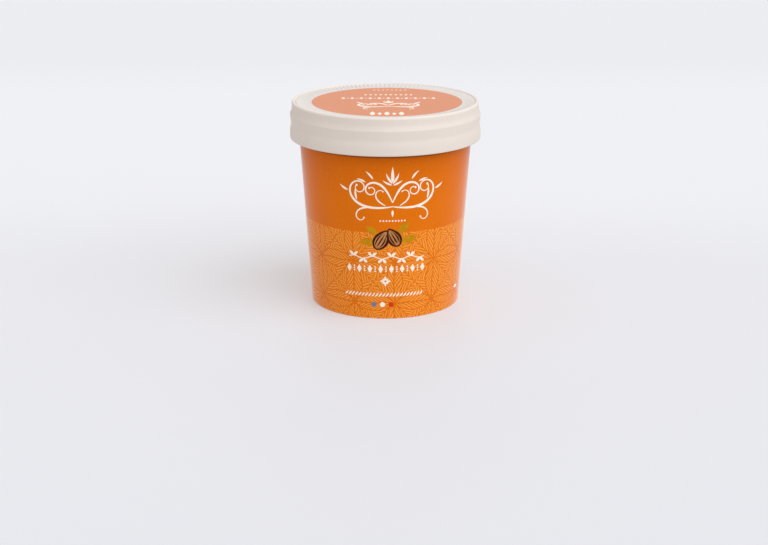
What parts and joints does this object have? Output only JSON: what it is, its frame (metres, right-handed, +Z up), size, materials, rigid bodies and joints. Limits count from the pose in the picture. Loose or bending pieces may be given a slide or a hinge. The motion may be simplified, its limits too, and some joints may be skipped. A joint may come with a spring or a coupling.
{
  "type": "ice cream tub",
  "caption": "Small shut ice cream tub of printed paperboard: a tapered round wall on a rolled foot, and a close-fitting white lid with a pleated, printed panel just below its rim.",
  "frame": {"origin": "middle of the underside of the tub's foot, on the surface it stands on", "axes": "+Z up along the tub's axis, -Y towards the printed front, +X to the viewer's right"},
  "size_m": [0.063, 0.063, 0.0678],
  "materials": {
    "printed_board": "coated board printed orange, satin",
    "plain_board": "unprinted board, matt",
    "lid_band_board": "off-white coated board, satin",
    "lid_pan_board": "off-white coated board with a printed pale orange disc, satin"
  },
  "bodies": {
    "root": {"tub": "printed_board", "base_board": "plain_board", "lid_band": "lid_band_board", "lid_pan": "lid_pan_board"}
  },
  "joints": []
}
